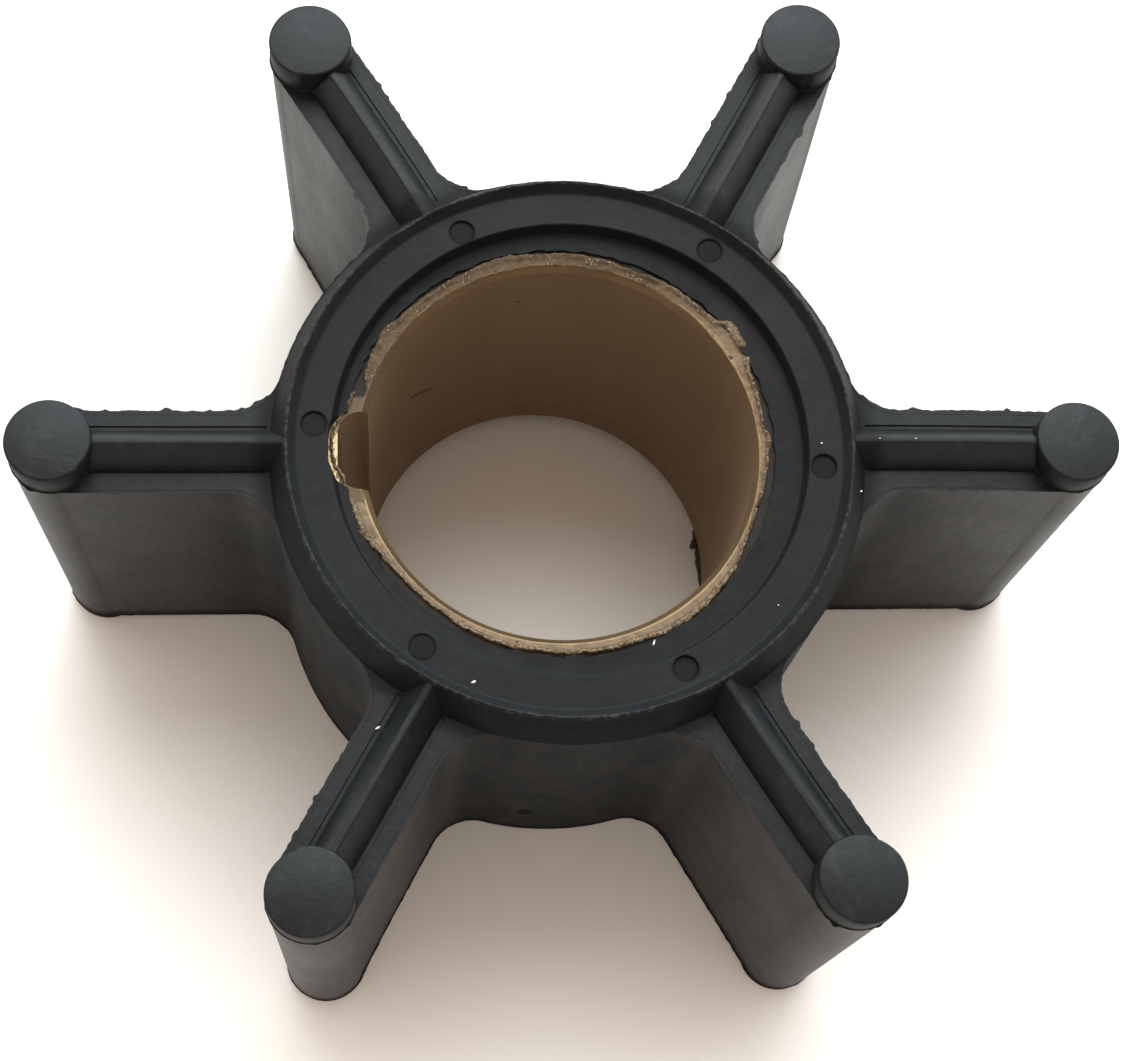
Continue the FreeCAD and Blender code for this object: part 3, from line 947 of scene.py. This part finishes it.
def keyway_burr(name, upper):
    """The thin bright burr that was pushed up round the keyway's end."""
    line = [(x, y, BURR_HEIGHT) for x, y in KEY_BURR]
    piece = begin_line(name, line[0])
    draw_through(line)
    merge_doubles()
    bpy.ops.mesh.subdivide(number_cuts=9)
    leave_edit()
    activate(piece)
    bpy.ops.object.convert(target="CURVE")
    piece = bpy.context.object
    piece.data.bevel_depth = BURR_RADIUS * MM
    piece.data.bevel_resolution = 3
    piece.data.use_fill_caps = True
    bpy.ops.object.convert(target="MESH")
    piece = bpy.context.object
    across = piece.data.attributes.new("across", "FLOAT", "POINT")
    for vertex in piece.data.vertices:
        spot = vertex.co / MM + (Vector() if upper else LOWER_END)
        across.data[vertex.index].value = BURR_ACROSS
        vertex.co += Vector((noise.noise(spot * 2.5), noise.noise(spot * 2.5 + Vector((9, 0, 0))), 0)) * 0.16 * MM
        vertex.co.z += (noise.noise(spot * 4.0) * 0.12 + 0.03) * MM
        if not upper:
            vertex.co.z = HEIGHT * MM - vertex.co.z
    mend(piece)
    smooth(piece, 60)
    return piece


def small_blobs(name, blobs, seed):
    """Small rounded bits, each stretched, turned and roughened, in one piece."""
    bits = []
    for index, (x, y, z, length, width, thickness, turn) in enumerate(blobs):
        deselect_everything()
        bpy.ops.mesh.primitive_ico_sphere_add(subdivisions=3, radius=0.5 * MM)
        bit = bpy.context.object
        for vertex in bit.data.vertices:
            spot = vertex.co / MM
            vertex.co *= 1 + 0.5 * noise.noise(spot * 2.4 + Vector((index * 7.0, seed, 0)))
        bit.scale = (length, width, thickness)
        bit.rotation_euler.z = math.radians(turn)
        bit.location = Vector((x, y, z)) * MM
        fix_place(bit)
        bits.append(bit)
    piece = joined(*bits)
    piece.name = name
    smooth(piece, 60)
    return piece


# Sizes and colours that a user would change

def colour_property(name, description, default):
    return FloatVectorProperty(name=name, description=description, default=default, subtype="COLOR", min=0, max=1)


def amount_property(name, description, default, **more):
    return FloatProperty(name=name, description=description, default=default, min=0.0, **more)


def length_property(name, description, default):
    """A length whose default is given in millimetres."""
    return amount_property(name, description, default * MM, unit="LENGTH", precision=5)


class ImpellerRubberSettings(bpy.types.PropertyGroup):
    edge_round: length_property("Shoulder Rounding", "Rounding of the webs' shoulder edges", 0.18)
    rim_round: length_property("Tip Rounding", "Rounding of the rims of the vane tips", 0.16)
    crease_depth: length_property("Crease Depth", "Depth of the crease round each tip at its parting line", 0.07)
    flash_reach: length_property("Flash Reach", "How far the parting flash stands out on average", 0.11)
    flash_nubs: length_property("Flash Nubs", "How far the largest nubs of the flash stand out", 0.3)
    flash_thickness: length_property("Flash Thickness", "Thickness of the parting flash", 0.09)
    rubber_dark: colour_property("Rubber", "The rubber's own colour", (0.0055, 0.0072, 0.0078))
    rubber_light: colour_property("Worn Rubber", "Colour of the rubber's lighter clouds", (0.009, 0.0112, 0.0124))
    rubber_hub: colour_property("Hub", "Colour of the rubber on the hub's ends", (0.003, 0.0037, 0.004))
    # Painted shade for crevices, gaps, pin marks and the walls' feet, and the colour of the real stain
    rubber_shade_and_stain: colour_property("Crevices", "Colour of crevices, stains and pin marks", (0.0018, 0.002, 0.0022))
    wall_green: colour_property("Walls, Cool", "Cool tone of the mottled side walls", (0.0145, 0.0183, 0.0178))
    wall_pink: colour_property("Walls, Warm", "Warm tone of the mottled side walls", (0.0213, 0.0191, 0.0195))
    # Bloom on the rubber, also used as a painted highlight along the hub's crest
    rubber_bloom_and_highlight: colour_property("Bloom", "Colour of the pale bloom on the rubber", (0.04, 0.043, 0.045))
    rubber_shreds: colour_property("Shreds", "Colour of the shreds on the bore's rim", (0.03, 0.025, 0.016))
    dust_white: colour_property("Dust", "Colour of the specks and fibres on the rubber", (0.7, 0.69, 0.66))


class ImpellerBrassSettings(bpy.types.PropertyGroup):
    # Freshly exposed brass, also used for the painted glints on the smeared brass
    brass_bright_and_glint: colour_property("Bright Brass", "Colour of freshly exposed brass", (0.5, 0.36, 0.2))
    brass_tan: colour_property("Smeared Brass", "Colour of the smeared brass", (0.165, 0.108, 0.053))
    brass_mid: colour_property("Dull Brass", "Colour of dull brass", (0.11, 0.072, 0.038))
    brass_dark: colour_property("Dark Brass", "Colour of dirty brass", (0.03, 0.018, 0.009))
    # Painted shade for the bush's end faces in the gap beside the smeared brass
    brass_end_shade: colour_property("End Face Shade", "Colour of the grime on the bush's end faces", (0.008, 0.006, 0.0045))
    brass_copper: colour_property("Reddened Brass", "Colour of the spot beside the keyway", (0.26, 0.12, 0.06))
    bore_dark: colour_property("Bore, Dark", "Darkest tarnish in the bore", (0.19, 0.122, 0.068))
    bore_light: colour_property("Bore, Light", "Lightest tarnish in the bore", (0.27, 0.185, 0.11))


class ImpellerStageSettings(bpy.types.PropertyGroup):
    table_colour: colour_property("Table", "Colour of the pale table", (0.95, 0.92, 0.885))
    table_shade: colour_property("Table Shade", "Darker tone of the table's surface", (0.92, 0.885, 0.845))
    window_power: amount_property("Window Light", "Power of the soft light behind the part", 8.5, unit="POWER")
    room_light: amount_property("Room Light", "Strength of the warm light from all around", 1.0)
    overhead_shade: amount_property(
        "Overhead Shade", "How much of the light from straight above is held off", 0.22, max=1.0, subtype="FACTOR"
    )
    back_light: amount_property("Back Light", "Strength of the cool light from the far side of the room", 1.9)


# Operators

class IMPELLER_OT_rubber_moulding(bpy.types.Operator):
    """Models the rubber moulding with its hub, six vanes, ridges, tips and the flash along its parting lines"""

    bl_idname = "impeller.rubber_moulding"
    bl_label = "Rubber Moulding"

    def execute(self, context):
        settings = context.scene.impeller_rubber
        rubber = rubber_finish(settings)
        body = rubber_body(settings)
        upper = parting_flash(body, "flash_upper", UPPER_SHOULDER - 0.2, 0.15, 3.0, settings)
        lower = parting_flash(body, "flash_lower", LOWER_SHOULDER + 0.2, -0.1, 17.0, settings)
        for piece in (body, upper, lower):
            finish_piece(piece, rubber)
        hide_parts("rubber_moulding")
        return {"FINISHED"}


class IMPELLER_OT_brass_bush(bpy.types.Operator):
    """Gives the brass bush its finish, and models the brass smeared round its mouths and the burrs at its keyway"""

    bl_idname = "impeller.brass_bush"
    bl_label = "Brass Bush"

    def execute(self, context):
        settings = context.scene.impeller_brass
        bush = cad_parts["drive_bush"]
        brass = bush_finish(settings)
        for slot in bush.material_slots:
            slot.material = brass
        smear = smear_finish(settings)
        finish_piece(smeared_ring("smeared_brass_upper", True), smear)
        finish_piece(smeared_ring("smeared_brass_lower", False), smear)
        finish_piece(keyway_burr("keyway_burr_upper", True), smear)
        finish_piece(keyway_burr("keyway_burr_lower", False), smear)
        return {"FINISHED"}


class IMPELLER_OT_torn_rubber(bpy.types.Operator):
    """Models the shreds of rubber that hang on the bore's lower rim"""

    bl_idname = "impeller.torn_rubber"
    bl_label = "Torn Rubber"

    def execute(self, context):
        colour = context.scene.impeller_rubber.rubber_shreds
        shreds = small_blobs("torn_rubber", SHREDS, 5.0)
        finish_piece(shreds, plain_finish("Torn Rubber", colour, 0.6))
        return {"FINISHED"}


class IMPELLER_OT_dust(bpy.types.Operator):
    """Scatters the white specks and fibres that lie on the rubber"""

    bl_idname = "impeller.dust"
    bl_label = "Dust"

    def execute(self, context):
        colour = context.scene.impeller_rubber.dust_white
        blobs = [(*place, length, width, DUST_THICKNESS, turn) for *place, length, width, turn in DUST]
        specks = small_blobs("dust_specks", blobs, 11.0)
        finish_piece(specks, plain_finish("White Dust", colour, 0.9))
        return {"FINISHED"}


class IMPELLER_OT_stage(bpy.types.Operator):
    """Lays the pale table, hangs the window's soft light, lights the room and sets up the camera"""

    bl_idname = "impeller.stage"
    bl_label = "Table, Lights and Camera"

    def execute(self, context):
        settings = context.scene.impeller_stage
        deselect_everything()
        bpy.ops.mesh.primitive_plane_add(size=3.0, location=(0, 0, -0.02 * MM))
        table = context.object
        table.name = "table"
        fix_place(table)
        edit(table)
        bpy.ops.mesh.subdivide(number_cuts=8)
        leave_edit()
        table.data.materials.append(table_finish(settings))
        self.hang_window(settings.window_power)
        self.light_room(context.scene, settings)
        self.place_camera(context.scene)
        context.scene.view_settings.view_transform = "Standard"
        return {"FINISHED"}

    def hang_window(self, power):
        aim = (Vector((0, 0, 0.01)) - Vector(WINDOW_PLACE)).to_track_quat("-Z", "Y").to_euler()
        deselect_everything()
        bpy.ops.object.light_add(type="AREA", location=WINDOW_PLACE, rotation=aim)
        window = bpy.context.object
        window.name = "window"
        window.data.shape = "DISK"
        window.data.size = WINDOW_WIDTH
        window.data.energy = power
        window.data.color = WINDOW_COLOUR

    def light_room(self, scene, settings):
        world = bpy.data.worlds.new("Room")
        world.use_nodes = True
        finish = Finish(world)
        background = world.node_tree.nodes["Background"]
        overhead = finish.step(finish.z, 0.75, 0.97) * (1.0 - finish.step(finish.y, 0.1, 0.5))
        behind = finish.step(finish.y, -0.05, 0.65) * (1.0 + 0.5 * finish.x)
        low = 1.0 - finish.step(finish.z, 0.25, 0.8)
        tint = finish.blend(behind, (1.0, 0.86, 0.75), (0.86, 0.95, 1.0))
        strength = settings.room_light * (1.0 - 0.45 * low) + settings.back_light * behind
        strength = strength * (1.0 - settings.overhead_shade * overhead)
        finish.feed(background.inputs["Color"], tint)
        finish.feed(background.inputs["Strength"], strength)
        scene.world = world

    def place_camera(self, scene):
        deselect_everything()
        turn = [math.radians(angle) for angle in CAMERA_TURN]
        bpy.ops.object.camera_add(location=Vector(CAMERA_PLACE) * MM, rotation=turn)
        camera = bpy.context.object
        camera.name = "photo_camera"
        camera.data.sensor_width = 36.0
        camera.data.lens = CAMERA_LENS
        camera.data.clip_start = 0.005
        scene.camera = camera


class IMPELLER_PT_build(bpy.types.Panel):
    bl_label = "Pump Impeller"
    bl_space_type = "VIEW_3D"
    bl_region_type = "UI"
    bl_category = "Impeller"

    def draw(self, context):
        for operator in OPERATORS:
            self.layout.operator(operator.bl_idname)
        for group_name, group in GROUPS.items():
            box = self.layout.box()
            for name in group.__annotations__:
                box.prop(getattr(context.scene, group_name), name)


OPERATORS = (
    IMPELLER_OT_stage,
    IMPELLER_OT_rubber_moulding,
    IMPELLER_OT_brass_bush,
    IMPELLER_OT_torn_rubber,
    IMPELLER_OT_dust,
)
GROUPS = {
    "impeller_rubber": ImpellerRubberSettings,
    "impeller_brass": ImpellerBrassSettings,
    "impeller_stage": ImpellerStageSettings,
}


def register():
    for name, group in GROUPS.items():
        bpy.utils.register_class(group)
        setattr(bpy.types.Scene, name, PointerProperty(type=group))
    for operator in OPERATORS:
        bpy.utils.register_class(operator)
    bpy.utils.register_class(IMPELLER_PT_build)


def unregister():
    bpy.utils.unregister_class(IMPELLER_PT_build)
    for operator in reversed(OPERATORS):
        bpy.utils.unregister_class(operator)
    for name, group in GROUPS.items():
        delattr(bpy.types.Scene, name)
        bpy.utils.unregister_class(group)


def main():
    register()
    bpy.ops.impeller.stage()
    bpy.ops.impeller.rubber_moulding()
    bpy.ops.impeller.brass_bush()
    bpy.ops.impeller.torn_rubber()
    bpy.ops.impeller.dust()


if __name__ == "__main__":
    main()
